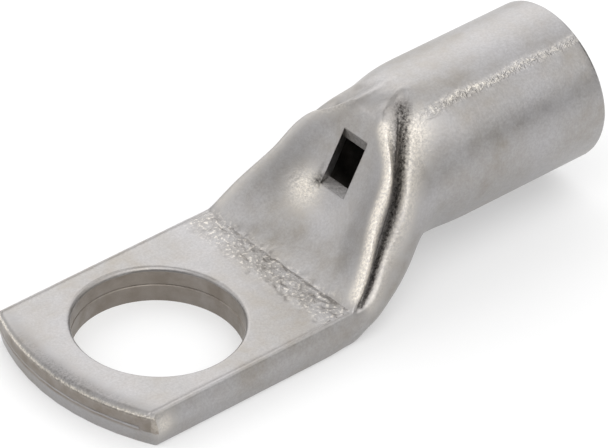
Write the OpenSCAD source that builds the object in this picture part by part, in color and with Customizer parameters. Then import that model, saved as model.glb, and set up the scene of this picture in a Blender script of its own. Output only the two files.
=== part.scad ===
// Tubular cable lug, tinned copper, one piece.
// A length of tube is pressed flat at one end to make the palm. The other end stays round and takes
// the cable. Between them the upper wall is pressed down as a tongue, with a deep fold on each side.
// +X runs from the bolt hole to the cable's end, +Z is up, and the palm's underside is at Z = 0.

/* [Palm] */
// Width of the palm over its folded sides
palm_width = 17.6; // [14.5:0.1:24]
// Diameter of the bolt hole, M12 with clearance
bolt_hole_d = 13; // [5:0.5:15]
// Distance from the hole's axis to the foremost point of the sheared front
front_reach = 9.95; // [8.6:0.05:16]
// Radius of the curved front edge
front_radius = 19; // [11:0.5:40]
// How far the foremost point lies off the palm's middle
front_offset = 0.8; // [-1.5:0.1:1.5]
// How far the shears leave the front's lower edge behind its middle
front_set_back = 0.35; // [0:0.05:0.6]
// Distance from the hole's axis to the bend where the neck starts
palm_reach = 11.8; // [8:0.1:20]
// How far the folded sides bulge out past the palm's flat top
side_bulge = 0.4; // [0.2:0.05:0.8]
// Height of the rounding that the shears leave along the front's upper edge
front_round = 0.4; // [0.1:0.05:0.8]
// Radius that the punch leaves round the hole's upper rim
rim_round = 0.35; // [0.1:0.05:0.8]

/* [Barrel] */
// Outer diameter of the tube
barrel_od = 13; // [10.5:0.1:17]
// Wall of the tube. The bore is what it leaves, and the palm is two walls pressed together
wall = 1.5; // [1:0.05:2.2]
// Height of the barrel's underside over the palm's
barrel_lift = 1.2; // [0:0.1:3]
// Length of the round barrel, from the neck to the mouth
barrel_length = 12; // [6:0.5:30]
// Chamfer at the mouth, inside and outside
mouth_chamfer = 0.3; // [0.1:0.05:0.6]

/* [Neck] */
// Length of the neck, from the palm's bend to the round barrel
neck_length = 15.2; // [12:0.1:24]

/* [Sight window] */
// Width of the window
window_width = 2.6; // [1:0.1:4]
// Length of the window along the tongue
window_length = 4.6; // [2:0.1:5.5]
// Share of the neck's length from the bend to the window's middle
window_at = 0.415; // [0.38:0.005:0.46]
// Slope of the tongue at the window, in degrees
window_slope = 61; // [50:1:70]

/* [Hidden] */
$fn = 96;

palm_thickness = 2 * wall;
barrel_r = barrel_od / 2;
bore_r = barrel_r - wall;
axis_height = barrel_lift + barrel_r;
palm_half = palm_width / 2;
barrel_x = palm_reach + neck_length;
mouth_x = barrel_x + barrel_length;
reach_past = 1;

// The neck is lofted through cross sections. A cross section is half an outline, from the middle of
// the upper wall round to the middle of the lower wall. Each place on it is two shares: of the neck's
// half width there, and of its height, which both change evenly from the palm to the barrel.
// section_at gives each section's share of the way along the neck.
section_at = [0, 0.13, 0.28, 0.44, 0.57, 0.7, 1];
// Middle of the tongue, which dips between its ridges and then climbs steeply to the barrel
tongue = [[0, 1], [0, 0.86], [0, 0.92], [0, 1.26], [0, 1.47], [0, 1.34], [0, 1]];
// Ridge along each edge of the tongue
ridge = [[0.93, 1], [0.87, 1.17], [0.72, 1.34], [0.59, 1.43], [0.2, 1.51], [0.11, 1.34], [0.11, 1]];
// Bottom of the fold beside each ridge
fold = [[0.95, 0.98], [0.91, 0.87], [0.8, 0.99], [0.68, 1.14], [0.48, 1.29], [0.21, 1.3], [0.25, 0.98]];
// Crest of each cheek, which is the wall outside the fold
cheek = [[0.96, 0.9], [1, 0.72], [0.9, 0.87], [0.83, 1.05], [0.65, 1.19], [0.45, 1.21], [0.5, 0.93]];
// Widest part of the neck
side = [[0.99, 0.5], [1.03, 0.39], [1, 0.43], [0.94, 0.5], [0.88, 0.6], [0.87, 0.63], [1, 0.5]];
// Rounded lower edge
heel = [[0.94, 0.02], [0.92, 0.09], [0.86, 0.08], [0.75, 0.07], [0.6, 0.13], [0.56, 0.16], [0.64, 0.12]];
// Where the underside turns from its flat middle to the heel
sole = [[0.8, 0], [0.75, 0], [0.68, 0], [0.54, 0], [0.42, 0.02], [0.38, 0.03], [0.34, 0.03]];
// The barrel's angles that the eight places and the lower middle end at, measured from the top
ring_at = [0, 4, 8, 14, 30, 90, 140, 160, 180];
// Points from each place to the next, round half a section
ring_points = [4, 5, 3, 3, 5, 5, 2, 2];
// Directions in which the inner skin lies under the outer one, in wall thicknesses
inward = [[0, -1], [0, -1], [-0.25, -1.05], [-0.75, -0.75], [-0.75, -0.75], [-1, 0], [-0.7, 0.75],
          [-0.3, 1], [0, 1]];
neck_steps = 26;
// The underside has risen to the barrel's at this share of the way
lifted_at = 0.7;
// The outer skin starts to turn into the round barrel at this share of the way
rounding_from = 0.58;
// The inner skin starts at the first share, turns round from the second and is the bore at the third
cavity_from = 0.06;
cavity_rounding_from = 0.5;
cavity_round = 0.75;
// The loft's round ends stay this far inside the barrel and the bore that they meet
seat_step = 0.02;

function mix(a, b, share) = a + (b - a) * share;
function eased(share) = let (s = min(max(share, 0), 1)) s * s * (3 - 2 * s);
// Height of the neck's underside and of its straight top line
function neck_low(share) = (axis_height - barrel_r) * eased(share / lifted_at);
function neck_high(share) = mix(palm_thickness, axis_height + barrel_r, share);
function on_ring(radius, angle) = [radius * sin(angle), axis_height + radius * cos(angle)];

// Smooth curve between b and c, with a and d as the places before and after
function tangent(before, here, after, gap_before, gap_after) =
    ((here - before) * gap_after / gap_before + (after - here) * gap_before / gap_after)
    / (gap_before + gap_after);
function hermite(b, slope_b, c, slope_c, s) =
    (2 * s * s * s - 3 * s * s + 1) * b + (s * s * s - 2 * s * s + s) * slope_b
    + (3 * s * s - 2 * s * s * s) * c + (s * s * s - s * s) * slope_c;

// The places of the section at any share of the way along the neck, each on a smooth curve along it
function placed(shares, share) =
    [shares[0] * mix(palm_half, barrel_r, share), mix(neck_low(share), neck_high(share), shares[1])];
rails = [for (rail = [tongue, ridge, fold, cheek, side, heel, sole])
    [for (i = [0 : len(section_at) - 1]) placed(rail[i], section_at[i])]];
function section_index(share) = max([for (i = [0 : len(section_at) - 2]) if (share >= section_at[i]) i]);
function rail_slope(rail, i) =
    i == 0 || i == len(rail) - 1 ? [0, 0]
    : tangent(rail[i - 1], rail[i], rail[i + 1], section_at[i] - section_at[i - 1],
              section_at[i + 1] - section_at[i]);
function along(rail, share) =
    let (i = section_index(share), gap = section_at[i + 1] - section_at[i])
    hermite(rail[i], rail_slope(rail, i) * gap, rail[i + 1], rail_slope(rail, i + 1) * gap,
            (share - section_at[i]) / gap);
function halfway(middle, edge) = [edge[0] / 2, mix(middle[1], edge[1], 0.22)];
function section_places(share) =
    let (middle = along(rails[0], share), edge = along(rails[1], share))
    concat([middle, halfway(middle, edge), edge],
           [for (i = [2 : len(rails) - 1]) along(rails[i], share)],
           [[0, neck_low(share)]]);
function inner_places(share) =
    let (outer = section_places(share))
    [for (i = [0 : len(outer) - 1]) outer[i] + inward[i] * wall];

// The half outline through a section's places, and the round one that it turns into
function root_gap(a, b) = sqrt(norm(b - a)) + 0.000001;
function flip(place) = [-place[0], place[1]];
function half_outline(places) =
    let (run = concat([flip(places[1])], places, [flip(places[len(places) - 2])]))
    concat([for (i = [1 : len(places) - 1])
        let (g0 = root_gap(run[i - 1], run[i]), g1 = root_gap(run[i], run[i + 1]),
             g2 = root_gap(run[i + 1], run[i + 2]))
        for (k = [0 : ring_points[i - 1] - 1])
            hermite(run[i], tangent(run[i - 1], run[i], run[i + 1], g0, g1) * g1, run[i + 1],
                    tangent(run[i], run[i + 1], run[i + 2], g1, g2) * g1, k / ring_points[i - 1])],
        [places[len(places) - 1]]);
function half_round(radius) =
    concat([for (i = [0 : len(ring_points) - 1]) for (k = [0 : ring_points[i] - 1])
        on_ring(radius, mix(ring_at[i], ring_at[i + 1], k / ring_points[i]))], [on_ring(radius, 180)]);
function blended(outline, round_one, share) =
    [for (i = [0 : len(outline) - 1]) mix(outline[i], round_one[i], share)];
// Nothing reaches below the palm's underside
function whole_ring(x, half) =
    concat([for (place = half) [x, place[0], max(place[1], 0)]],
           [for (i = [len(half) - 2 : -1 : 1]) [x, -half[i][0], max(half[i][1], 0)]]);
function neck_x(share) = mix(palm_reach, barrel_x, share);
function outer_ring(share) =
    whole_ring(neck_x(share), blended(half_outline(section_places(share)), half_round(barrel_r - seat_step),
                                      eased((share - rounding_from) / (1 - rounding_from))));
function inner_ring(share) =
    whole_ring(neck_x(share), blended(half_outline(inner_places(share)), half_round(bore_r - seat_step),
                                      eased((share - cavity_rounding_from)
                                            / (cavity_round - cavity_rounding_from))));

// Skin over a list of rings. Its ends are flat: fans round a hub each where hubs are given, which
// suits a ring with a straight side, and otherwise one polygon each.
module loft(rings, hubs = []) {
    count = len(rings[0]);
    last = len(rings) - 1;
    hub = len(rings) * count;
    walls = [for (r = [0 : last - 1]) for (i = [0 : count - 1])
        let (j = (i + 1) % count, a = r * count + i, b = r * count + j)
        for (face = [[a, b, b + count], [a, b + count, a + count]]) face];
    ends = len(hubs) == 0
        ? [[for (i = [count - 1 : -1 : 0]) i], [for (i = [0 : count - 1]) last * count + i]]
        : [for (i = [0 : count - 1]) let (j = (i + 1) % count)
            for (face = [[hub, j, i], [hub + 1, last * count + i, last * count + j]]) face];
    polyhedron(concat([for (ring = rings) for (place = ring) place], hubs), concat(walls, ends));
}

// Cross section of the palm: flat above and below, with bulging folds at the sides
module palm_section() {
    bulge_r = (pow(palm_thickness / 2, 2) + pow(side_bulge, 2)) / (2 * side_bulge);
    intersection() {
        translate([-palm_half, 0]) square([palm_width, palm_thickness]);
        union() {
            translate([-(palm_half - side_bulge), 0]) square([palm_width - 2 * side_bulge, palm_thickness]);
            for (s = [-1, 1]) translate([s * (palm_half - bulge_r), palm_thickness / 2]) circle(bulge_r, $fn = 48);
        }
    }
}

module palm() {
    intersection() {
        rotate([90, 0, 90]) translate([0, 0, -front_reach - reach_past])
            linear_extrude(palm_reach + front_reach + reach_past) palm_section();
        union() {
            translate([front_radius - front_reach, front_offset, 0]) front_disc();
            translate([0, -palm_width, 0]) cube([palm_reach, 2 * palm_width, palm_thickness]);
        }
    }
}

// The palm's outline ahead of the hole is part of a disc, rounded above and set back below
module front_disc() {
    rotate_extrude() {
        polygon([[0, 0], [front_radius - front_set_back, 0], [front_radius, palm_thickness / 2],
                 [front_radius, palm_thickness - front_round],
                 [front_radius - front_round, palm_thickness], [0, palm_thickness]]);
        translate([front_radius - front_round, palm_thickness - front_round])
            circle(front_round, $fn = 24);
    }
}

module barrel() {
    straight = mouth_x - mouth_chamfer - barrel_x;
    translate([barrel_x, 0, axis_height]) rotate([0, 90, 0]) {
        cylinder(h = straight, r = barrel_r);
        translate([0, 0, straight]) cylinder(h = mouth_chamfer, r1 = barrel_r, r2 = barrel_r - mouth_chamfer);
    }
}

module neck() {
    loft([for (i = [0 : neck_steps]) outer_ring(i / neck_steps)],
         hubs = [[palm_reach, 0, palm_thickness / 2], [barrel_x, 0, axis_height]]);
}

module cavity() {
    loft([for (i = [0 : neck_steps]) inner_ring(mix(cavity_from, cavity_round, i / neck_steps))]);
    translate([neck_x(cavity_round), 0, axis_height]) rotate([0, 90, 0])
        cylinder(h = mouth_x - neck_x(cavity_round) + reach_past, r = bore_r);
    translate([mouth_x - mouth_chamfer, 0, axis_height]) rotate([0, 90, 0])
        cylinder(h = 2 * mouth_chamfer, r1 = bore_r, r2 = bore_r + 2 * mouth_chamfer);
}

module bolt_hole() {
    hole_r = bolt_hole_d / 2;
    translate([0, 0, -reach_past]) cylinder(h = palm_thickness + 2 * reach_past, r = hole_r);
    // The rounded rim is what a quarter circle leaves of a ring
    translate([0, 0, palm_thickness - rim_round]) rotate_extrude() difference() {
        square([hole_r + rim_round, rim_round + reach_past]);
        translate([hole_r + rim_round, 0]) circle(rim_round, $fn = 24);
    }
}

module sight_window() {
    middle = along(rails[0], window_at);
    depth = 2 * wall;
    translate([neck_x(window_at), 0, middle[1]]) rotate([0, -window_slope, 0])
        translate([-window_length / 2, -window_width / 2, -depth]) cube([window_length, window_width, 2 * depth]);
}

module lug() {
    color("gainsboro") difference() {
        union() {
            palm();
            neck();
            barrel();
        }
        cavity();
        bolt_hole();
        sight_window();
    }
}

lug();
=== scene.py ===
# %% [markdown]
# # A tubular cable lug
#
# A cable lug joins a thick cable to a bolt. This one is a length of copper tube: one end is pressed
# flat for the bolt, the other stays round and takes the cable, and the whole thing is tin plated.
# The script makes it the way the factory does. It starts with a tube, presses it ring by ring, punches
# the bolt hole, cuts the sight window, and then gives it a plated finish.
#
# The frame holds the engineering model, which sets every size. Its box is kept, and the finished points are
# held inside it.

import math

import bpy
import numpy as np
from mathutils import Matrix, Vector


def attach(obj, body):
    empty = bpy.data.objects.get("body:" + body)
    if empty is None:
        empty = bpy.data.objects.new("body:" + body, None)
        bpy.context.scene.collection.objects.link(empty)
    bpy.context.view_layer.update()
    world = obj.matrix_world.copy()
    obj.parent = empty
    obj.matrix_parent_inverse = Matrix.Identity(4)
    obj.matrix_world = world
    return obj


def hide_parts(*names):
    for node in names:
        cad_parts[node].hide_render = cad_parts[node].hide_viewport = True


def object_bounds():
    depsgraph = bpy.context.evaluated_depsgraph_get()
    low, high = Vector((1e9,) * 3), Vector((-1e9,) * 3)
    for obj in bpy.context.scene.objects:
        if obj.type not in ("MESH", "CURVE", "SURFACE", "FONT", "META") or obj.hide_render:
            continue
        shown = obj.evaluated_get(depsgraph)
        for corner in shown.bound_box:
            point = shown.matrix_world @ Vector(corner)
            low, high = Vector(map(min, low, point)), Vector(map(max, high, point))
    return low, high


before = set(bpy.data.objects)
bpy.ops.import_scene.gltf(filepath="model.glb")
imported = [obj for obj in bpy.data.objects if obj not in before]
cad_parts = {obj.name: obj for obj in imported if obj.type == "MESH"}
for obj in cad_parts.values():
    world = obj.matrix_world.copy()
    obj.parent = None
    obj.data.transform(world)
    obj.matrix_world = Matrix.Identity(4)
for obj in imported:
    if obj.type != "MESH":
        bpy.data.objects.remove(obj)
cad_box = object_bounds()
MM = 0.001
print("the engineering model reaches from", cad_box[0][:], "to", cad_box[1][:])

# %% [markdown]
# ## Sizes
#
# All the sizes are in millimetres and match the engineering model's. +X runs from the bolt hole to the
# cable's end, +Z is up, and the origin is on the bolt hole's axis, at the palm's underside. The sizes
# that many steps share are here. Those of one place come with the step that shapes it.

# %% Sizes of the palm, the neck and the barrel
PALM_HALF, PALM_THICK = 8.8, 3.0
# The two walls of the pressed tube meet halfway up the palm
SEAM_Z = PALM_THICK / 2
# Where the palm bends up, where the neck has become the barrel, and where the barrel ends
BEND_X, BARREL_X, MOUTH_X = 11.8, 27.0, 39.0
BARREL_R, BORE_R, AXIS_Z = 6.5, 5.0, 7.7
WALL = BARREL_R - BORE_R
print("a tube", 2 * BARREL_R, "mm across, with a wall of", WALL, "mm")

# %% [markdown]
# ## The sections of the neck
#
# A press shapes the neck. It leaves a tongue down the middle, a ridge along each edge of the tongue, a
# deep fold outside each ridge, and a cheek outside each fold. Such folds could be sculpted, but they
# would be hard to place. Here each of them is a rail that runs the length of the neck, written as where
# it is at seven sections. A place is two shares, of the half width and of the height of the neck there,
# so that the rails stay right if a size changes.

# %% Rails along the neck
SECTION_AT = [0, 0.13, 0.28, 0.44, 0.57, 0.7, 1]
RAILS = {
    "tongue": [(0, 1), (0, 0.86), (0, 0.92), (0, 1.26), (0, 1.47), (0, 1.34), (0, 1)],
    "ridge": [(0.93, 1), (0.87, 1.17), (0.72, 1.34), (0.59, 1.43), (0.2, 1.47), (0.11, 1.34), (0.11, 1)],
    "fold": [(0.95, 0.98), (0.91, 0.87), (0.8, 0.99), (0.68, 1.14), (0.48, 1.29), (0.21, 1.3), (0.25, 0.98)],
    "cheek": [(0.96, 0.9), (1, 0.72), (0.9, 0.87), (0.83, 1.05), (0.65, 1.19), (0.45, 1.21), (0.5, 0.93)],
    "side": [(0.99, 0.5), (1.03, 0.39), (1, 0.43), (0.94, 0.5), (0.88, 0.6), (0.87, 0.63), (1, 0.5)],
    "heel": [(0.94, 0.02), (0.92, 0.09), (0.86, 0.08), (0.75, 0.07), (0.6, 0.13), (0.56, 0.16), (0.64, 0.12)],
    "sole": [(0.8, 0), (0.75, 0), (0.68, 0), (0.54, 0), (0.42, 0.02), (0.38, 0.03), (0.34, 0.03)],
}
print("the neck has", len(RAILS), "rails on each side, through", len(SECTION_AT), "sections")

# %% How long and how high the neck is
# Share of the neck's length by which its underside is as high as the barrel's
LIFTED_AT = 0.7


def mix(a, b, share):
    return a + (b - a) * share


def eased(share):
    """The share, with a gentle start and a gentle end."""
    s = min(max(share, 0.0), 1.0)
    return s * s * (3 - 2 * s)


def neck_x(share):
    return mix(BEND_X, BARREL_X, share)


def neck_low(share):
    return (AXIS_Z - BARREL_R) * eased(share / LIFTED_AT)


def neck_high(share):
    return mix(PALM_THICK, AXIS_Z + BARREL_R, share)


print("halfway along, the neck is from", round(neck_low(0.5), 2), "to", round(neck_high(0.5), 2), "mm high")

# %% [markdown]
# The rails are turned to millimetres first and then joined by smooth curves. A curve object could join
# them too, but a formula gives the section at any share of the length. It is a curve between two
# places that leaves the first and meets the second at a set slope, so it runs on smoothly in the next.


# %% A smooth curve between two places
def tangent(before, here, after, gap_before, gap_after):
    """Slope at a place, from the ways to its neighbours. The nearer neighbour counts for more."""
    slope_before = (here - before) * gap_after / gap_before
    slope_after = (after - here) * gap_before / gap_after
    return (slope_before + slope_after) / (gap_before + gap_after)


def hermite(b, slope_b, c, slope_c, s):
    """Place at share s of the curve that goes from b to c."""
    start = (2 * s**3 - 3 * s**2 + 1) * b + (s**3 - 2 * s**2 + s) * slope_b
    return start + (3 * s**2 - 2 * s**3) * c + (s**3 - s**2) * slope_c


print("a quarter of the way from 0 to 1, a curve that starts and ends level is at", hermite(0, 0, 1, 0, 0.25))

# %% Places along the rails
# The press tool has a sharp edge at the bend, so the tongue and its ridges leave the palm at an angle
BENT_AT_ONCE, BEND_SLOPE = ("tongue", "ridge"), 0.8


def rail_in_mm(name):
    return np.array(
        [
            (across * mix(PALM_HALF, BARREL_R, at), mix(neck_low(at), neck_high(at), up))
            for (across, up), at in zip(RAILS[name], SECTION_AT)
        ]
    )


RAILS_MM = {name: rail_in_mm(name) for name in RAILS}


def along(name, share):
    """Place of a rail, across and up, at any share of the neck's length."""
    rail, at = RAILS_MM[name], SECTION_AT
    i = max(k for k in range(len(at) - 1) if share >= at[k] or k == 0)
    gap = at[i + 1] - at[i]

    def slope(k):
        if k == 0 and name in BENT_AT_ONCE:
            return BEND_SLOPE * (rail[1] - rail[0]) / (at[1] - at[0])
        if k in (0, len(at) - 1):
            return np.zeros(2)
        return tangent(rail[k - 1], rail[k], rail[k + 1], at[k] - at[k - 1], at[k + 1] - at[k])

    return hermite(rail[i], slope(i) * gap, rail[i + 1], slope(i + 1) * gap, (share - at[i]) / gap)


print("halfway along, the ridge is", along("ridge", 0.5).round(2), "mm across and up")

# %% [markdown]
# Going round a section, the places on the rails are joined in the same way, by a curve that leaves each
# place in the direction of its neighbours. The gaps are square roots of distances, which stops the curve
# from looping at the fold, where places lie close together. The round barrel is listed in the same
# order, so that a section can turn into it point by point.

# %% Smooth curves round a section
# Points from each place to the next: many at the ridge, the fold and the cheek, where it bends most
POINTS = [24, 24, 12, 12, 14, 12, 5, 5]
# Where each of those places is on the round barrel, in degrees from the top
RING_AT = [0, 4, 8, 14, 30, 90, 140, 160, 180]
SIDES = 2 * sum(POINTS)
# Keeps two places in one spot from dividing by nothing
TINY = 1e-6


def half_outline(places):
    """Smooth half outline, from the middle of the top to the middle of the bottom."""
    first, last = places[1] * (-1, 1), places[-2] * (-1, 1)
    run = np.vstack([first, places, last])
    gap = [math.sqrt(np.linalg.norm(b - a)) + TINY for a, b in zip(run, run[1:])]
    out = []
    for i, count in enumerate(POINTS):
        a, b, c, d = run[i : i + 4]
        leave = tangent(a, b, c, gap[i], gap[i + 1]) * gap[i + 1]
        arrive = tangent(b, c, d, gap[i + 1], gap[i + 2]) * gap[i + 1]
        out += [hermite(b, leave, c, arrive, k / count) for k in range(count)]
    return np.array(out + [places[-1]])


def half_round(radius):
    """Half circle with its points at the same places of the list as in half_outline."""
    angles = [mix(RING_AT[i], RING_AT[i + 1], k / n) for i, n in enumerate(POINTS) for k in range(n)]
    a = np.radians(angles + [180])
    return np.stack([radius * np.sin(a), AXIS_Z + radius * np.cos(a)], -1)


print("each ring has", SIDES, "points")

# %% [markdown]
# The section at any share of the neck passes through its places and turns into the round barrel at the
# end. The press closes the fold to a sharp line at the bottom, which smooth curves can't show, so
# the points near the fold are pushed in a little further.

# %% The neck's outer outline
# Halfway from the tongue to the ridge, this share of the step up to the ridge is done
HALFWAY_UP = 0.22
FOLD_PLACE = 3
# Depth and width of the closed fold, at the palm and at LIFTED_AT, and which way it is pushed in
CREASE_DEPTH, CREASE_WIDTH, CREASE_WAY = (0.3, 0.6), (0.2, 0.42), (0.7, 0.7)
# Shares of the neck's length: where the closed fold ends, how long it takes to start and to end,
# and where the section begins to turn round
CREASE_END, CREASE_FADE, ROUNDING_FROM = 0.68, 0.12, 0.58


def places_at(share):
    spots = {name: along(name, share) for name in RAILS}
    middle, edge = spots["tongue"], spots["ridge"]
    halfway = np.array([edge[0] / 2, mix(middle[1], edge[1], HALFWAY_UP)])
    return np.array([middle, halfway] + [spots[n] for n in list(RAILS)[1:]] + [(0, neck_low(share))])


def outer_half(share):
    places = places_at(share)
    outline = half_outline(places)
    opened, closed = eased(share / CREASE_FADE), eased((CREASE_END - share) / CREASE_FADE)
    depth = mix(*CREASE_DEPTH, share / LIFTED_AT) * opened * closed
    width = mix(*CREASE_WIDTH, share / LIFTED_AT)
    near = np.exp(-(((outline - places[FOLD_PLACE]) ** 2).sum(1)) / width**2)
    outline = outline - np.outer(depth * near, CREASE_WAY)
    blend = eased((share - ROUNDING_FROM) / (1 - ROUNDING_FROM))
    return mix(outline, half_round(BARREL_R), blend)


print("halfway along, the neck is", round(2 * outer_half(0.5)[:, 0].max(), 2), "mm wide")

# %% The neck's inner outline
# Which way the inside lies from each place, in walls
TOP_INWARD = [(0, -1), (0, -1), (-0.25, -1.05), (-0.75, -0.75), (-0.75, -0.75)]
SIDE_INWARD = [(-1, 0), (-0.7, 0.75), (-0.3, 1), (0, 1)]
INWARD = np.array(TOP_INWARD + SIDE_INWARD)
# The inside turns round sooner than the outside, between these shares of the neck's length
HOLLOW_ROUNDING = (0.5, 0.75)


def inner_half(share):
    outline = half_outline(places_at(share) + INWARD * WALL)
    start, end = HOLLOW_ROUNDING
    return mix(outline, half_round(BORE_R), eased((share - start) / (end - start)))


print("halfway along, the hollow is", round(2 * inner_half(0.5)[:, 0].max(), 2), "mm wide")

# %% The palm's outline
# Flat above and below, with a fold of the tube bulging at each side
PALM_TOP = [(0, PALM_THICK), (4, PALM_THICK), (7.95, PALM_THICK), (8.36, 2.97), (8.53, 2.62)]
PALM_BELOW = [(PALM_HALF, SEAM_Z), (8.42, 0.05), (8, 0), (0, 0)]
palm_half_outline = half_outline(np.array(PALM_TOP + PALM_BELOW))
print("the palm's section is", round(2 * palm_half_outline[:, 0].max(), 2), "mm wide")

# %% [markdown]
# ## Rings from the front of the palm to the mouth and back inside
#
# The lug is one skin, so one list of rings can say where all of it is: from the cut front along the
# palm, the neck and the barrel, and from the mouth back inside.
#
# The shears that cut the palm's front leave a curved edge: rolled over at the top, square in the middle
# and set back below. The two walls of the tube meet in the middle of that cut, in a fine seam. The
# first rings draw this end: each is the palm's outline drawn in towards its middle line.

# %% Where the sheared front is
# How far the front reaches ahead of the hole, the radius of its curve, and how far that is off the middle
FRONT_REACH, FRONT_RADIUS, FRONT_OFFSET = 9.95, 19.0, 0.8
# How far its lower edge is set back, and how deep the roll-over at the top is
FRONT_SET_BACK, FRONT_ROUND = 0.35, 0.4


def front_x(y, z):
    """Where the sheared front is, at a place across and up the palm."""
    below = np.clip((SEAM_Z - z) / SEAM_Z, 0, 1)
    above = np.clip((z - (PALM_THICK - FRONT_ROUND)) / FRONT_ROUND, 0, 1)
    radius = FRONT_RADIUS - FRONT_SET_BACK * below - FRONT_ROUND * (1 - np.sqrt(1 - above**2))
    return FRONT_RADIUS - FRONT_REACH - np.sqrt(radius**2 - (y - FRONT_OFFSET) ** 2)


for y in (-PALM_HALF, 0, PALM_HALF):
    print("at", y, "mm across, the front is at", round(float(front_x(y, SEAM_Z)), 2), "mm")


# %% Rings of the sheared front
def whole(half):
    """Both halves of a ring, which starts at the middle of the top and goes round by +Y."""
    half = np.array(half)
    half[:, 1] = np.maximum(half[:, 1], 0)
    return np.vstack([half, half[-2:0:-1] * (-1, 1)])


def drawn_in(share):
    """The palm's outline, drawn in towards the line where the two walls meet."""
    ring = whole(palm_half_outline)
    seam_half = PALM_HALF - SEAM_Z
    seam = np.column_stack([np.clip(ring[:, 0], -seam_half, seam_half), np.full(len(ring), SEAM_Z)])
    return mix(ring, seam, share)


# How far each ring is drawn in, from 1 at the seam to 0 at the edge, and how deep the seam is there
SEAM_RINGS = [(0.985, 0.1), (0.96, 0.08), (0.92, 0.03), (0.88, 0)]
FACE_SHARES = (0.7, 0.5, 0.36, 0.3, 0.27, 0.24, 0.2, 0.16, 0.12, 0.08, 0.05, 0.02, 0)
rings = []
for share, pushed in SEAM_RINGS + [(share, 0) for share in FACE_SHARES]:
    ring = drawn_in(share)
    rings.append(np.column_stack([front_x(*ring.T) + pushed, ring]))
front_rings = len(rings)
print(front_rings, "rings draw the front")


# %% Rings along the palm and the neck
def flat_ring(x, half):
    """A ring that stands upright at one place along the lug."""
    ring = whole(half)
    return np.column_stack([np.full(len(ring), x), ring])


# Shares of the palm's length: close together at the front, where the roll-over is, and before the bend
at_roll_over = [0.004 * k for k in range(1, 13)]
palm_shares = at_roll_over + list(np.linspace(0.06, 0.84, 34)) + list(np.linspace(0.845, 1, 28))
# From here on, the palm's section turns into the first section of the neck
PALM_ENDS = 0.86
NECK_STEPS = 110
neck_start = outer_half(0)
for share in palm_shares:
    ring = whole(mix(palm_half_outline, neck_start, eased((share - PALM_ENDS) / (1 - PALM_ENDS))))
    rings.append(np.column_stack([mix(front_x(*ring.T), BEND_X, share), ring]))
rings += [flat_ring(neck_x(k / NECK_STEPS), outer_half(k / NECK_STEPS)) for k in range(1, NECK_STEPS + 1)]
print(len(rings) - front_rings, "rings along the palm and the neck")

# %% Rings along the barrel, round the mouth and back inside
# Radius of the mouth's edges, and how far its top is set back: the tube was cut a little off square
MOUTH_ROUND, MOUTH_SET_BACK = 0.3, 0.3
# Shares of the neck's length: where the bore ends, and where the hollow behind it starts and ends
BORE_TO, HOLLOW_FROM, HOLLOW_TO = 0.76, 0.75, 0.06
straight = MOUTH_X - MOUTH_ROUND


def edge_ring(degrees, radius, outwards):
    """A ring on a rounded edge of the mouth, at an angle round the rounding."""
    a = math.radians(degrees)
    half = half_round(radius + outwards * MOUTH_ROUND * (1 - math.cos(a)))
    return flat_ring(straight + MOUTH_ROUND * math.sin(a), half)


rings += [flat_ring(x, half_round(BARREL_R)) for x in np.linspace(BARREL_X, straight, 25)[1:]]
rings += [edge_ring(degrees, BARREL_R, -1) for degrees in (25, 50, 90)]
mouth_ring = len(rings)
rings += [edge_ring(degrees, BORE_R, 1) for degrees in (90, 50, 25, 0)]
rings += [flat_ring(x, half_round(BORE_R)) for x in np.linspace(straight, neck_x(BORE_TO), 9)[1:]]
rings += [flat_ring(neck_x(s), inner_half(s)) for s in np.linspace(HOLLOW_FROM, HOLLOW_TO, 50)]
rings = np.array(rings)
above_axis = np.clip((rings[:, :, 2] - AXIS_Z) / BARREL_R, 0, 1)
near_mouth = np.clip((rings[:, :, 0] - BARREL_X) / (MOUTH_X - BARREL_X), 0, 1)
rings[:, :, 0] -= MOUTH_SET_BACK * above_axis * near_mouth
print(len(rings), "rings of", SIDES, "points")

# %% [markdown]
# ## Marks of the tools on the palm
#
# The press and the shears leave small marks on the palm: a line where the flat top meets each rounded
# side, a sharp line along the bend, a burr along the sheared edge, and a band of shallow dents before
# the bend, which on this lug are plain strokes at random. They could be bumps in the material, but a
# mark that is really there also catches the light at the outline. So the points are moved now, while
# they are still in their rings.

# %% Lines and dents on the palm's top
# What counts as the flat top: how deep a skin, how far past the bend, and how far to each side
TOP_SKIN, PAST_BEND, TOP_HALF = 0.2, 0.9, 8.3
# Place, depth and width of the line beside each rounded side, and of the line before the bend
SIDE_LINE_AT, SIDE_LINE_DEPTH, SIDE_LINE_WIDTH = 8.1, 0.05, 0.1
BEND_LINE_BEFORE, BEND_LINE_DEPTH, BEND_LINE_WIDTH = 0.12, 0.02, 0.15
# The dents are random, but the same ones each time: how many, and where their band is
DENTS, BAND_X, BAND_HALF = 120, (9.0, 12.2), 7.7
random = np.random.default_rng(7)
x, y, z = (rings[:mouth_ring, :, k] for k in range(3))
flat_top = (z > PALM_THICK - TOP_SKIN) & (x < BEND_X + PAST_BEND) & (abs(y) < TOP_HALF)


def groove(distance, width):
    """How much of a mark there is at a distance from its middle, from 1 down to 0."""
    return np.exp(-((distance / width) ** 2))


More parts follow.
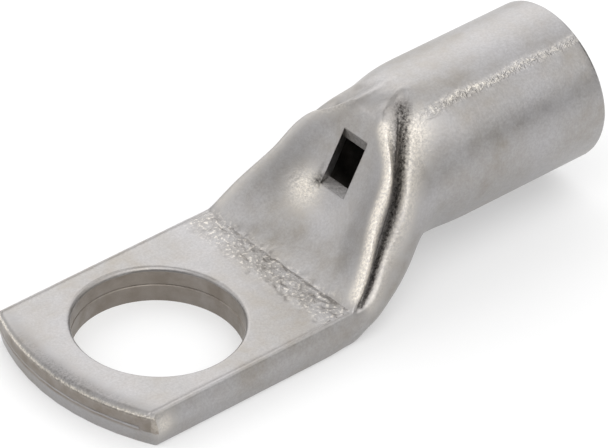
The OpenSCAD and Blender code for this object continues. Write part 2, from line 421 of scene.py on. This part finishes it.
sunk = SIDE_LINE_DEPTH * groove(abs(y) - SIDE_LINE_AT, SIDE_LINE_WIDTH) * (x < BEND_X)
sunk += BEND_LINE_DEPTH * groove(x - BEND_X + BEND_LINE_BEFORE, BEND_LINE_WIDTH)
for at in np.linspace(-BAND_HALF, BAND_HALF, DENTS) + random.normal(0, 0.25, DENTS):
    middle = np.array([random.uniform(*BAND_X), at])
    half_length, lean = random.uniform(0.0, 0.45), random.uniform(-1.6, 1.6)
    run = np.array([math.cos(lean), math.sin(lean)])
    across = -(x - middle[0]) * run[1] + (y - middle[1]) * run[0]
    beyond = np.maximum(abs((x - middle[0]) * run[0] + (y - middle[1]) * run[1]) - half_length, 0)
    # Some of the strokes stand up a little instead, where the metal was pushed aside
    depth, width = random.uniform(-0.05, 0.08), random.uniform(0.12, 0.2)
    sunk += depth * groove(np.hypot(across, beyond), width)
z -= np.where(flat_top, np.clip(sunk, -0.06, 0.16), 0)
print("the dents go", round(float(sunk[flat_top].max()), 2), "mm deep")

# %% The burr on the sheared face
# Just below the roll-over, and more in some places than in others: its height, its width, how proud it
# is, and how far it goes to each side
BURR_Z, BURR_WIDTH, BURR_PROUD, BURR_HALF = 2.62, 0.07, 0.05, 8.2
uneven = 0.6 + 0.4 * np.sin(2.3 * y) * np.sin(5.9 * y + 1)
burr = BURR_PROUD * groove(z - BURR_Z, BURR_WIDTH) * uneven
x[:front_rings] -= burr[:front_rings] * (abs(y[:front_rings]) < BURR_HALF)
print("the burr stands", round(float(burr[:front_rings].max()), 2), "mm proud")

# %% [markdown]
# ## From a tube to a lug
#
# A cylinder without ends is added and cut into as many rings as the list has. Then every point of
# it goes to its place in the list. This is what the press does to a real tube, except that
# here the skin also turns round at the mouth and goes back inside as the bore.


# %% A tube that takes the shape of a list of rings
def ringed_tube(name, places):
    """A tube whose rings are the lists of places, in millimetres."""
    count, sides = places.shape[:2]
    bpy.ops.object.select_all(action="DESELECT")
    bpy.ops.mesh.primitive_cylinder_add(vertices=sides, radius=1, depth=2, end_fill_type="NOTHING")
    tube = bpy.context.object
    tube.name = name
    # One subdivide makes at most 100 cuts, so the gaps are cut in parts, and then each part again
    parts = max(n for n in range(1, 100) if (count - 1) % n == 0)
    for pieces in (parts, (count - 1) // parts):
        bpy.ops.object.mode_set(mode="EDIT")
        bpy.ops.mesh.select_mode(type="EDGE")
        bpy.ops.mesh.select_all(action="DESELECT")
        bpy.ops.object.mode_set(mode="OBJECT")
        for edge in tube.data.edges:
            low, high = (tube.data.vertices[v].co for v in edge.vertices)
            edge.select = abs(low.z - high.z) > 1e-4
        bpy.ops.object.mode_set(mode="EDIT")
        if pieces > 1:
            bpy.ops.mesh.subdivide(number_cuts=pieces - 1)
        bpy.ops.object.mode_set(mode="OBJECT")
    assert len(tube.data.vertices) == count * sides, "a ring is missing"
    # The number of its ring stays with each point, so that the bore can be told from the outside later
    numbers = tube.data.attributes.new("ring", "FLOAT", "POINT")
    for point in tube.data.vertices:
        ring = round((point.co.z + 1) / 2 * (count - 1))
        turn = round(-math.atan2(point.co.y, point.co.x) / (2 * math.pi) * sides) % sides
        numbers.data[point.index].value = ring
        point.co = Vector(places[ring, turn]) * MM
    print(name, "is a tube of", count, "rings")
    return tube


# %% Press the tube
def only(obj):
    """Makes obj the one selected and active object."""
    bpy.ops.object.select_all(action="DESELECT")
    obj.select_set(True)
    bpy.context.view_layer.objects.active = obj


def close_ends(tube):
    """Fills the first and the last ring, and makes all faces look outwards."""
    only(tube)
    bpy.ops.object.mode_set(mode="EDIT")
    bpy.ops.mesh.select_all(action="SELECT")
    bpy.ops.mesh.fill_holes(sides=0)
    bpy.ops.mesh.normals_make_consistent(inside=False)
    bpy.ops.object.mode_set(mode="OBJECT")


lug = ringed_tube("tinned_lug", rings)
close_ends(lug)
print("the pressed tube has", len(lug.data.vertices), "points")

# %% [markdown]
# ## The bolt hole
#
# A punch goes through the palm and pulls the upper rim down with it. A Boolean modifier takes one mesh
# away from another, as a punch does, and the punch used here is a cylinder that widens at the
# top like a trumpet, so that the hole and its rim come from one cut. A fine ring round the punch's
# middle leaves the seam of the two walls in the hole.

# %% Punch the bolt hole
HOLE_R, RIM_ROUND = 6.5, 0.35
PUNCH_SIDES, SEAM_DEPTH = 192, 0.1


def turned(name, profile, sides):
    """A solid turned on the hole's axis, from the radius and height of each ring."""
    a = np.arange(sides) * 2 * math.pi / sides
    places = np.array([[(r * math.cos(-t), r * math.sin(t), z) for t in a] for r, z in profile])
    cutter = ringed_tube(name, places)
    close_ends(cutter)
    return cutter


def cut(obj, cutter):
    """Takes the cutter away from obj, and then deletes the cutter."""
    only(obj)
    modifier = obj.modifiers.new("cut", "BOOLEAN")
    modifier.operation, modifier.solver, modifier.object = "DIFFERENCE", "EXACT", cutter
    bpy.ops.object.modifier_apply(modifier="cut")
    bpy.data.objects.remove(cutter)
    print(obj.name, "has", len(obj.data.vertices), "points after the cut")


rim = []
for degrees in (0, 15, 30, 45, 60, 75, 90):
    a = math.radians(degrees)
    rim.append((HOLE_R + RIM_ROUND * (1 - math.cos(a)), PALM_THICK - RIM_ROUND * (1 - math.sin(a))))
seam = [(HOLE_R, 1.4), (HOLE_R + SEAM_DEPTH, 1.47), (HOLE_R + SEAM_DEPTH, 1.53), (HOLE_R, 1.6)]
above = [(HOLE_R + RIM_ROUND, PALM_THICK + 1)]
cut(lug, turned("punch", [(HOLE_R, -1)] + seam + rim + above, PUNCH_SIDES))

# %% [markdown]
# ## The sight window
#
# The fitter looks through this window to see that the cable is all the way in. It is a slot in the
# tongue, punched square to it. The punch shears the metal cleanly in the middle, pulls it in at the
# upper end and tears it at the lower. One block would leave both ends clean, so there are three: one
# goes right through, and one at each end has a sloping floor, which leaves a lip below the edge.

# %% Cut the sight window
WINDOW_WIDTH, WINDOW_LENGTH = 2.6, 4.6
# Its middle as a share of the neck's length, and the tongue's slope there in degrees
WINDOW_AT, WINDOW_SLOPE = 0.415, 61.0
BLOCK_HEIGHT = 4
window_middle = Vector((neck_x(WINDOW_AT), 0, along("tongue", WINDOW_AT)[1]))
slope = math.radians(WINDOW_SLOPE)
uphill = Vector((math.cos(slope), 0, math.sin(slope)))
outwards = Vector((-math.sin(slope), 0, math.cos(slope)))


def block(start, end, depth_at_start, depth_at_end):
    """A block whose floor goes from start to end, uphill of the window's middle, at these depths."""
    low = window_middle + uphill * start - outwards * depth_at_start
    high = window_middle + uphill * end - outwards * depth_at_end
    floor_slope = math.atan2((high - low).z, (high - low).x)
    up = Vector((-math.sin(floor_slope), 0, math.cos(floor_slope)))
    bpy.ops.object.select_all(action="DESELECT")
    bpy.ops.mesh.primitive_cube_add(
        size=1,
        location=((low + high) / 2 + up * (BLOCK_HEIGHT / 2)) * MM,
        rotation=(0, -floor_slope, 0),
        scale=Vector(((high - low).length, WINDOW_WIDTH, BLOCK_HEIGHT)) * MM,
    )
    return bpy.context.object


lower_end, upper_end = -WINDOW_LENGTH / 2, WINDOW_LENGTH / 2
cut(lug, block(lower_end + 0.6, upper_end - 0.65, 2 * WALL, 2 * WALL))
cut(lug, block(upper_end - 0.75, upper_end + 0.05, 0.38, -0.03))
cut(lug, block(lower_end - 0.03, lower_end + 0.75, -0.03, 0.8))
print("the window is", WINDOW_LENGTH, "mm long and", WINDOW_WIDTH, "mm wide")

# %% [markdown]
# A cut can leave two points almost in one place, with a sliver of a face between them. On a closed skin
# every edge has two faces, and slivers can break that, so such points are merged.

# %% Merge what the cuts left
MERGE_WITHIN, SLIVER = 0.002, 0.001
only(lug)
bpy.ops.object.mode_set(mode="EDIT")
bpy.ops.mesh.select_mode(type="VERT")
bpy.ops.mesh.select_all(action="SELECT")
bpy.ops.mesh.remove_doubles(threshold=MERGE_WITHIN * MM)
bpy.ops.mesh.dissolve_degenerate(threshold=SLIVER * MM)
bpy.ops.object.mode_set(mode="OBJECT")
print("after merging", len(lug.data.vertices), "points")

# %% [markdown]
# The surface is smooth, and the rims of the cuts are not. Shading by angle keeps both.

# %% Smooth shading
SHARP_FROM = 32
only(lug)
bpy.ops.object.shade_smooth_by_angle(angle=math.radians(SHARP_FROM))
print("shaded", lug.name, "with edges sharp from", SHARP_FROM, "degrees")

# %% [markdown]
# ## Where the ridges run out into the barrel
#
# Above the window the two ridges come together and fade into the barrel, in one soft swelling. The rails
# bring them close, but the line where they meet stays sharp. That place is smoothed here, as a
# sculptor would: each point moves towards its neighbours, many times. A wide circle with few rounds
# comes first and a smaller one with more rounds after it, so that no step shows where it ends.

# %% Smooth the ridges' upper ends
# Middle of each circle, how far it reaches in millimetres, and the number of rounds
SOFTENED = [
    ((21.3, 0.2, 14.0), 2.1, 60),
    ((21.3, 0.2, 14.0), 1.5, 120),
    ((19.8, 2.4, 12.6), 2.3, 60),
    ((19.8, 2.4, 12.6), 1.7, 120),
]
# The window's rim and the inside stay as they were: only outer points behind or beside it may move
BEHIND_WINDOW, BESIDE_WINDOW = 20.3, WINDOW_WIDTH / 2 + 0.6


def read(owner, what, size):
    """A property of all points or values, as one row of numbers for each."""
    values = np.empty(len(owner) * size, np.float32)
    owner.foreach_get(what, values)
    return values.reshape(-1, size)


ring_numbers = read(lug.data.attributes["ring"].data, "value", 1)[:, 0]
for middle, reach, rounds in SOFTENED:
    points = read(lug.data.vertices, "co", 3) / MM
    near = np.linalg.norm(points - middle, axis=1) < reach
    near &= (points[:, 0] > BEHIND_WINDOW) | (points[:, 1] > BESIDE_WINDOW)
    near &= ring_numbers < mouth_ring
    only(lug)
    bpy.ops.object.mode_set(mode="EDIT")
    bpy.ops.mesh.select_mode(type="VERT")
    bpy.ops.mesh.select_all(action="DESELECT")
    bpy.ops.object.mode_set(mode="OBJECT")
    lug.data.vertices.foreach_set("select", near)
    bpy.ops.object.mode_set(mode="EDIT")
    bpy.ops.mesh.vertices_smooth(factor=0.5, repeat=rounds)
    bpy.ops.object.mode_set(mode="OBJECT")
    print("smoothed", int(near.sum()), "points round", middle)

# %% [markdown]
# ## A soft crease and torn pits
#
# Two marks cross the rings at an angle, so they are pressed into the finished mesh instead: a soft
# crease where the tongue's upper end meets the barrel, and small pits where the window's punch
# tore the metal. A point goes in along its normal, by a depth that fades with its distance to the mark.

# %% Distances to marks
points, normals = read(lug.data.vertices, "co", 3) / MM, read(lug.data.vertices, "normal", 3)


def distance_to(line):
    """Distance of each point of the mesh to a line of places, and how far along the line that is."""
    best, at = np.full(len(points), 1e9), np.zeros(len(points))
    for k, place in enumerate(line):
        d = np.linalg.norm(points - place, axis=1)
        at = np.where(d < best, k / max(len(line) - 1, 1), at)
        best = np.minimum(d, best)
    return best, at


def rail_line(name, start, end, side):
    """Places along a rail, from one share of the neck's length to another. The side is 1 or -1."""
    shares = np.linspace(start, end, 60)
    return np.array([(neck_x(s), side * along(name, s)[0], along(name, s)[1]) for s in shares])


def through(*places):
    """Straight pieces through a few places, with a place every tenth of a millimetre or so."""
    return np.vstack([np.linspace(a, b, 24) for a, b in zip(np.array(places), np.array(places[1:]))])


nearest = distance_to(rail_line("ridge", 0.1, 0.4, 1))[0].min()
print("the ridge's rail is", round(float(nearest), 2), "mm from the mesh")

# %% Press the crease and the pits
# The crease goes from the fold at -Y over the top to the ridge at +Y
CREASE_PLACES = [(22.2, -2.0, 13.8), (22.0, -1.0, 14.0), (21.0, 0.1, 13.75)]
CREASE_PLACES += [(19.6, 2.3, 12.5), (19.0, 3.6, 11.8)]
CREASE_SUNK, CREASE_REACH = 0.04, 0.7
upper_crease = through(*CREASE_PLACES)
points -= normals * (CREASE_SUNK * groove(distance_to(upper_crease)[0], CREASE_REACH))[:, None]
# The pits are beside the window's lower corner at +Y, round this place along and across. They go on with
# the random numbers that the dents began.
TORN_X, TORN_Y, PITS = 17.05, 1.6, 9
for _ in range(PITS):
    spot = np.array([(random.normal(TORN_X, 0.25), random.normal(TORN_Y, 0.12), 0)])
    spot[0, 2] = along("tongue", (spot[0, 0] - BEND_X) / (BARREL_X - BEND_X))[1]
    pit = random.uniform(0.08, 0.22) * groove(distance_to(spot)[0], random.uniform(0.14, 0.25))
    points -= normals * pit[:, None]
# The tip of the burr is cut off where it would leave the engineering model's box
points = np.clip(points * MM, *(np.array(corner) for corner in cad_box)) / MM
lug.data.vertices.foreach_set("co", (points * MM).ravel())
lug.data.update()
print("pressed a crease through", len(upper_crease), "places, and", PITS, "pits")

# %% [markdown]
# ## Where the tools have worked the metal, and where shade and highlights are painted
#
# The finish isn't the same all over. The folds are rough, and painted shade darkens them. The crests
# beside them and a few spots get painted highlights. The bore is rough and dull, and painted shade
# darkens it. An image could hold this, but the lug would have to be unwrapped for it. Instead each
# kind of place is painted on the points of the mesh as an attribute from 0 to 1, by the distance to a
# rail or a mark, and the material reads it.

# %% Painted shade in the folds and painted highlights on the crests along the neck
# The two sides differ. For the side at -Y and at +Y: where the fold's painted shade ends, as a share of
# the neck's length, and how strong the painted shade in its fold, the painted highlights on its crests and
# the painted highlight low on the tongue are.
SIDE_SHADE_AND_HIGHLIGHT = {-1: (0.67, 1, 1, 0.1), 1: (0.42, 0.6, 0.25, 1)}
# Half widths over which the fold's painted shade and the ridge's painted highlight are at full strength
FOLD_HALF, RIDGE_HALF = 0.18, 0.25
fold, painted_highlight = np.zeros(len(points)), np.zeros(len(points))
for side, (fold_end, fold_shade, crest_highlight, tongue_highlight) in SIDE_SHADE_AND_HIGHLIGHT.items():
    d, at = distance_to(rail_line("fold", 0.06, fold_end, side))
    fold = np.maximum(fold, groove(np.maximum(d - FOLD_HALF, 0), mix(0.15, 0.6, at)) * fold_shade)
    d, at = distance_to(rail_line("ridge", 0.06, 0.53, side))
    painted_highlight = np.maximum(painted_highlight, groove(np.maximum(d - RIDGE_HALF, 0), 0.5) * crest_highlight)
    d, at = distance_to(rail_line("cheek", 0.1, 0.66, side))
    painted_highlight = np.maximum(painted_highlight, (0.35 + 0.5 * at) * groove(d, 0.6 + 0.75 * at) * crest_highlight)
    # A painted highlight low on the tongue, beside and below the window
    d, at = distance_to(np.array([(16.3, side * 2.4, 6.4)]))
    painted_highlight = np.maximum(painted_highlight, tongue_highlight * groove(d, 1.4))
print("dark folds on", int((fold > 0.3).sum()), "points, bright crests on", int((painted_highlight > 0.3).sum()))

# %% Painted shade in the soft crease, round the torn pits and on the window's lips
# Where the torn pits are as a share of the neck's length, and how far past an edge still counts as on it
TORN_AT, EDGE = 0.345, 0.06
# Painted shade along the soft crease, and full painted shade round the torn pits
fold = np.maximum(fold, 0.28 * groove(distance_to(upper_crease)[0], 0.45))
torn = distance_to(np.array([(TORN_X, TORN_Y, along("tongue", TORN_AT)[1])]))[0]
fold = np.maximum(fold, groove(torn, 0.45))
# The lips are the faces inside the window, no deeper than the wall, and they get painted shade at half
# strength
off_middle = points - np.array(window_middle)
depth_in_window = -off_middle @ np.array(outwards)
in_window = (depth_in_window > -0.1) & (abs(points[:, 1]) < WINDOW_WIDTH / 2 + 0.01)
in_window &= (abs(off_middle @ np.array(uphill)) < WINDOW_LENGTH / 2 + EDGE) & (depth_in_window < WALL)
fold = np.maximum(fold, 0.5 * in_window)
print("the window's lips have", int(in_window.sum()), "points")

# %% Painted shade on the sheared front, and painted glints on its burr
# A painted shade darkens the roll-over along the palm's sheared front, and painted glints run along its burr
past_edge = points[:, 0] - front_x(points[:, 1], SEAM_Z)
ahead = points[:, 0] < 0
roll_over_shade = groove(past_edge - 0.4, 0.9) * (points[:, 2] > PALM_THICK - 0.45) * ahead
fold = np.maximum(fold, 0.62 * roll_over_shade * groove(points[:, 1] + 1, 7.0))
burr_glint = groove(past_edge + 0.02, 0.14) * groove(points[:, 2] - 2.66, 0.13) * ahead
painted_highlight = np.maximum(painted_highlight, 0.9 * burr_glint)
# A painted highlight brightens the corner at -Y
corner = distance_to(np.array([(front_x(-8.5, SEAM_Z) + 0.7, -8.6, 2.0)]))[0]
painted_highlight = np.maximum(painted_highlight, 0.6 * groove(corner, 0.9) * (points[:, 1] < -8.3))
print("the burr glitters on", int((burr_glint > 0.3).sum()), "points")

# %% A line of fine wrinkles along the barrel, with a painted glint on it
# It runs from the fold to the mouth and fades a little on its way. Its grain is bumps, and its light colour
# is a painted glint.
glint_line = np.array([(x, -3.2 + 0.1 * math.sin(x), 13.35) for x in np.linspace(21.5, 38.6, 120)])
d, at = distance_to(glint_line)
near_glint_line = groove(d, 0.3) * mix(1, 0.55, at)
# A weak painted highlight along the line
painted_highlight = np.maximum(painted_highlight, 0.22 * near_glint_line)
print("wrinkles on", int((near_glint_line > 0.3).sum()), "points")


# %% Paint the places on the mesh
def paint(name, values):
    layer = lug.data.attributes.new(name, "FLOAT", "POINT")
    layer.data.foreach_set("value", np.clip(values, 0, 1).astype(np.float32))
    print(name, "covers", round(100 * float(np.mean(values > 0.3)), 1), "% of the points")


# Sheared faces: the wall of the bolt hole, and the front below its roll-over
in_hole = (np.hypot(points[:, 0], points[:, 1]) < HOLE_R + 0.15) & (points[:, 2] < PALM_THICK - 0.3)
at_front = (points[:, 0] < front_x(points[:, 1], SEAM_Z) + EDGE) & (points[:, 2] < 2.6)
# The band of dents: its middle, and half of its width at full strength
BAND_MIDDLE, BAND_FULL = 10.6, 0.8
dented = groove(np.maximum(abs(points[:, 0] - BAND_MIDDLE) - BAND_FULL, 0), 0.6)
dented *= (points[:, 2] > PALM_THICK - TOP_SKIN) & (abs(points[:, 1]) < 8)
# The bore, which gets painted shade, starts behind its rounded edge, which is the three rings after the
# mouth's
in_bore = (ring_numbers > mouth_ring + 3) & (points[:, 0] > BEND_X)
# Some of these attributes are painted shade, painted highlights and painted glints for the material's colour
paint("fold", fold)
paint("painted_highlight", painted_highlight)
paint("worked", np.maximum(np.maximum(fold, painted_highlight), near_glint_line))
paint("sheared", (in_hole | at_front).astype(float))
paint("dented", dented)
paint("glint_and_wrinkles", np.maximum(near_glint_line, burr_glint))
paint("bore", in_bore.astype(float))
lug.data.attributes.remove(lug.data.attributes["ring"])

# %% [markdown]
# ## Tin plate on copper
#
# The lug is copper with a few micrometres of tin on it, plated in a bath and not polished. No copper
# shows. To the eye it is a light grey, faintly warm metal with a satin sheen: it mirrors its
# surroundings, but blurred. The tin is so thin that it follows the copper under it: dull in the folds,
# brownish on the sheared faces. Painted highlights brighten the crests and a few spots, and painted
# shade darkens the folds, the bore and the front's roll-over. So the shader is fully metallic, and all
# the rest is in its colour, roughness and bumps. Those could be images, but noise patterns have no
# seams and keep their size on every face.
#
# The patterns go by real sizes. The clouds are 6 mm, a third of the palm's width, where the plating
# is a little thicker or thinner. The mottle is 1.3 mm, the patches that the press tool's face leaves.
# The grain and the speckle are crystals and pores. Real ones are a few hundredths of a millimetre, too
# fine to show, so they are drawn at 0.3 and 0.2 mm.


# %% Helpers for materials
def hex_colour(text):
    """sRGB hex to the linear colour that Blender works in."""
    parts = [int(text[i : i + 2], 16) / 255 for i in (1, 3, 5)]
    return tuple(c / 12.92 if c <= 0.04045 else ((c + 0.055) / 1.055) ** 2.4 for c in parts) + (1.0,)


def add_node(tree, kind, settings=None, links=None):
    """Adds a node. settings holds properties or socket values, links holds the outputs that sockets get."""
    node = tree.nodes.new(kind)
    for key, value in (settings or {}).items():
        if isinstance(key, str) and key.islower() and hasattr(node, key):
            setattr(node, key, value)
        else:
            node.inputs[key].default_value = value
    for key, output in (links or {}).items():
        tree.links.new(output, node.inputs[key])
    return node


def new_material(name):
    material = bpy.data.materials.new(name)
    material.use_nodes = True
    material.node_tree.nodes.clear()
    return material, material.node_tree


print("half grey, #808080, is", round(hex_colour("#808080")[0], 3), "in linear light")

# %% Patterns and painted places
tinned, tree = new_material("satin_tin_plate")
where = add_node(tree, "ShaderNodeTexCoord").outputs["Object"]
# Size in millimetres, detail and roughness of each pattern
PATTERNS = {
    "clouds": (6, 3.0, 0.55),
    "mottle": (1.3, 4.0, 0.55),
    "grain": (0.3, 3.0, 0.6),
    "speckle": (0.2, 2.0, 0.7),
}
value = {}
for name, (size, detail, roughness) in PATTERNS.items():
    settings = {"Scale": 1 / (size * MM), "Detail": detail, "Roughness": roughness}
    value[name] = add_node(tree, "ShaderNodeTexNoise", settings, {"Vector": where}).outputs["Fac"]
for name in ("fold", "painted_highlight", "worked", "sheared", "dented", "glint_and_wrinkles", "bore"):
    value[name] = add_node(tree, "ShaderNodeAttribute", {"attribute_name": name}).outputs["Fac"]
print(len(value), "patterns and painted places")

# %% [markdown]
# The colour is built in layers, as a painter would: the plain tin first, then its clouds and patches,
# and then the worked places, where painted glints, painted highlights and painted shade go. A noise is
# mostly between 0.33 and 0.64, so that range is stretched to give each layer its full contrast.

# %% Colour of the plating
# Each layer: its colour, the pattern it follows, the share it has where that is low and high, and its place
LAYERS = [
    ("#AFADAE", "clouds", (1, 1), None),
    ("#9F9A94", "clouds", (0, 1), None),
    ("#B8B7B8", "mottle", (0, 0.55), None),
    ("#7C7876", "speckle", (0, 0.25), None),
    ("#837A70", "mottle", (0.6, 0.9), "sheared"),
    ("#7F7D7C", "mottle", (0.4, 0.0), "dented"),
    # Painted glints on the dents
    ("#F8F1E6", "grain", (-0.9, 0.45), "dented"),
    # Painted glints along the line of wrinkles and on the burr
    ("#FFF8EC", "grain", (-0.8, 0.95), "glint_and_wrinkles"),
    # Painted highlights on the crests, the cheeks, the corner, the burr and a spot on the tongue
    ("#F8F1E6", "speckle", (0.4, 1), "painted_highlight"),
    # Painted shade in the folds, the soft crease, the torn pits, the window's lips and the front's roll-over
    ("#35312E", "speckle", (1, 0.34), "fold"),
    # Painted shade inside the bore, on its dull plating
    ("#423E39", "mottle", (0.8, 1), "bore"),
]
NOISE_LOW, NOISE_HIGH = 0.33, 0.64
colour = None
for text, pattern, (low, high), place in LAYERS:
    settings = {"From Min": NOISE_LOW, "From Max": NOISE_HIGH, "To Min": low, "To Max": high}
    share = add_node(tree, "ShaderNodeMapRange", settings, {"Value": value[pattern]}).outputs["Result"]
    if place:
        links = {0: share, 1: value[place]}
        share = add_node(tree, "ShaderNodeMath", {"operation": "MULTIPLY"}, links).outputs["Value"]
    settings, links = {"data_type": "RGBA", 6: hex_colour(text), 7: hex_colour(text)}, {0: share}
    if colour:
        links[6] = colour
    colour = add_node(tree, "ShaderNodeMix", settings, links).outputs[2]
print(len(LAYERS), "layers of colour")

# %% [markdown]
# Satin tin has a roughness of about 0.4, and it wanders a little with the mottle. The worked places are
# rougher. The bumps are shallow, under half a tenth of a millimetre for a whole pattern: the mottle
# makes the sheen uneven, and the grain gives tooth to the worked places, most of all to the wrinkles.

# %% Roughness and bumps
ROUGHNESS, ROUGHER_WHERE_WORKED = (0.34, 0.48), 0.12
settings = {"From Min": 0.3, "From Max": 0.7, "To Min": ROUGHNESS[0], "To Max": ROUGHNESS[1]}
rough = add_node(tree, "ShaderNodeMapRange", settings, {"Value": value["mottle"]}).outputs["Result"]
for place in ("fold", "bore", "painted_highlight"):
    settings, links = {"operation": "MULTIPLY_ADD", 1: ROUGHER_WHERE_WORKED}, {0: value[place], 2: rough}
    rough = add_node(tree, "ShaderNodeMath", settings, links).outputs["Value"]
# Height of each pattern where nothing is painted, then the place where it is more, and how much more
BUMPS = [
    ("mottle", 0.6, "dented", 1.0),
    ("grain", 0.3, "worked", 1.6),
    ("grain", 0.0, "dented", 0.8),
    ("grain", 0.0, "glint_and_wrinkles", 6.0),
]
BUMP_HEIGHT = 0.045
height = None
for pattern, plain, place, more in BUMPS:
    settings = {"operation": "MULTIPLY_ADD", 1: more, 2: plain}
    amount = add_node(tree, "ShaderNodeMath", settings, {0: value[place]}).outputs["Value"]
    links = {0: value[pattern], 1: amount}
    if height:
        links[2] = height
    settings = {"operation": "MULTIPLY_ADD", 2: 0.0}
    height = add_node(tree, "ShaderNodeMath", settings, links).outputs["Value"]
bump = add_node(tree, "ShaderNodeBump", {"Strength": 1.0, "Distance": BUMP_HEIGHT * MM}, {"Height": height})
print(len(BUMPS), "layers of bumps, on a roughness of", ROUGHNESS[0], "to", ROUGHNESS[1])

# %% Put the finish on the lug
links = {"Base Color": colour, "Roughness": rough, "Normal": bump.outputs["Normal"]}
shader = add_node(tree, "ShaderNodeBsdfPrincipled", {"Metallic": 1.0}, links)
add_node(tree, "ShaderNodeOutputMaterial", None, {"Surface": shader.outputs["BSDF"]})
lug.data.materials.clear()
lug.data.materials.append(tinned)
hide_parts("lug")
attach(lug, "root")
print(lug.name, "is finished in", tinned.name)

# %% [markdown]
# ## The floor
#
# The lug lies on white paper. Plain paper would look grey under this light, and more light would be
# too much for the metal. So about a third of the floor's white is its own, where the camera or a
# reflection sees it, and the rest is the light that falls on it, which keeps the lug's shadow.

# %% Floor
# Side of the floor in metres, and the share of its white that is its own
FLOOR_SIDE, OWN_WHITE = 1.6, 0.35
bpy.ops.object.select_all(action="DESELECT")
bpy.ops.mesh.primitive_plane_add(size=FLOOR_SIDE, location=(0, 0, 0))
floor = bpy.context.object
floor.name = "floor"
paper, tree = new_material("white_paper")
path = add_node(tree, "ShaderNodeLightPath")
seen = path.outputs["Is Camera Ray"]
for ray in ("Is Glossy Ray", "Is Transmission Ray"):
    links = {0: seen, 1: path.outputs[ray]}
    seen = add_node(tree, "ShaderNodeMath", {"operation": "MAXIMUM"}, links).outputs["Value"]
share = add_node(tree, "ShaderNodeMath", {"operation": "MULTIPLY", 1: OWN_WHITE}, {0: seen})
matte = add_node(tree, "ShaderNodeBsdfDiffuse", {"Color": hex_colour("#F4F4F4")})
white = add_node(tree, "ShaderNodeEmission", {"Color": hex_colour("#FFFFFF"), "Strength": 1.0})
links = {0: share.outputs["Value"], 1: matte.outputs["BSDF"], 2: white.outputs["Emission"]}
both = add_node(tree, "ShaderNodeMixShader", None, links)
add_node(tree, "ShaderNodeOutputMaterial", None, {"Surface": both.outputs["Shader"]})
floor.data.materials.append(paper)
print("the floor is", FLOOR_SIDE, "m wide")

# %% [markdown]
# ## The light
#
# A metal shows what is round it more than it shows its own colour, and small lamps would make small
# hot spots on it. So the light is a dark dome with six soft lights painted on it, as big as
# softboxes and without an edge. As the camera sees it, the strongest is behind the lug, one is high up
# on the right, two are on the left, and two dim ones low on the right fill in.
#
# A weak, broad sun stands above the camera. It lights the sides that face the camera evenly and
# gives the shadow a direction.

# %% Dome of soft lights
# Azimuth from +X, elevation and strength of each light, and how many degrees from its middle it ends
SOFT_LIGHTS = [(50, 30, 1.8), (-60, 55, 1.4), (160, 25, 0.98), (110, 35, 0.85), (-95, 20, 0.3), (-55, 3, 0.3)]
FADE = 50


def towards(azimuth, elevation):
    a, e = math.radians(azimuth), math.radians(elevation)
    return Vector((math.cos(a) * math.cos(e), math.sin(a) * math.cos(e), math.sin(e)))


world = bpy.data.worlds.new("studio")
bpy.context.scene.world = world
world.use_nodes = True
tree = world.node_tree
tree.nodes.clear()
direction = add_node(tree, "ShaderNodeTexCoord").outputs["Generated"]
total = None
for azimuth, elevation, strength in SOFT_LIGHTS:
    settings = {"operation": "DOT_PRODUCT", 1: towards(azimuth, elevation)}
    facing = add_node(tree, "ShaderNodeVectorMath", settings, {0: direction}).outputs["Value"]
    settings = {"From Min": math.cos(math.radians(FADE)), "From Max": 1.0, "To Min": 0.0, "To Max": strength}
    settings["interpolation_type"] = "SMOOTHSTEP"
    light = add_node(tree, "ShaderNodeMapRange", settings, {"Value": facing}).outputs["Result"]
    if total:
        light = add_node(tree, "ShaderNodeMath", {"operation": "ADD"}, {0: total, 1: light}).outputs["Value"]
    total = light
dome = add_node(tree, "ShaderNodeBackground", {"Color": hex_colour("#FFFFFF")}, {"Strength": total})
add_node(tree, "ShaderNodeOutputWorld", None, {"Surface": dome.outputs["Background"]})
print(len(SOFT_LIGHTS), "soft lights on the dome")

# %% Sun above the camera
# Strength, how many degrees wide it looks, and its azimuth from +X and elevation
SUN_STRENGTH, SUN_WIDTH, SUN_AT = 0.95, 50, (228, 60)
lamp = bpy.data.objects.new("lamp", bpy.data.lights.new("lamp", "SUN"))
bpy.context.collection.objects.link(lamp)
lamp.data.energy, lamp.data.angle = SUN_STRENGTH, math.radians(SUN_WIDTH)
lamp.rotation_euler = towards(*SUN_AT).to_track_quat("Z", "Y").to_euler()
print("the sun is", SUN_WIDTH, "degrees wide, at azimuth and elevation", SUN_AT)

# %% [markdown]
# ## The camera
#
# The camera looks down on the lug from beyond the palm's corner at -Y. It stands far off with a long
# lens, as for a product picture, which keeps the palm's edges nearly parallel.

# %% Camera
# How it is turned, in degrees, what it looks at, how far off it is, and its lens in millimetres
YAW, PITCH, ROLL = 42.08, 36.44, -1.78
AIM = Vector((13.57, -0.72, 6.0)) * MM
DISTANCE, LENS = 500 * MM, 396.4
camera = bpy.data.objects.new("camera", bpy.data.cameras.new("camera"))
bpy.context.collection.objects.link(camera)
turn = (
    Matrix.Rotation(math.radians(-YAW), 4, "Z")
    @ Matrix.Rotation(math.radians(90 - PITCH), 4, "X")
    @ Matrix.Rotation(math.radians(-ROLL), 4, "Z")
)
camera.matrix_world = Matrix.Translation(AIM + turn.to_3x3() @ Vector((0, 0, DISTANCE))) @ turn
camera.data.lens = LENS
camera.data.clip_start, camera.data.clip_end = 0.01, 10
bpy.context.scene.camera = camera
bpy.context.scene.view_settings.view_transform = "Standard"
print("the camera is at", [round(c / MM) for c in camera.matrix_world.translation], "mm")
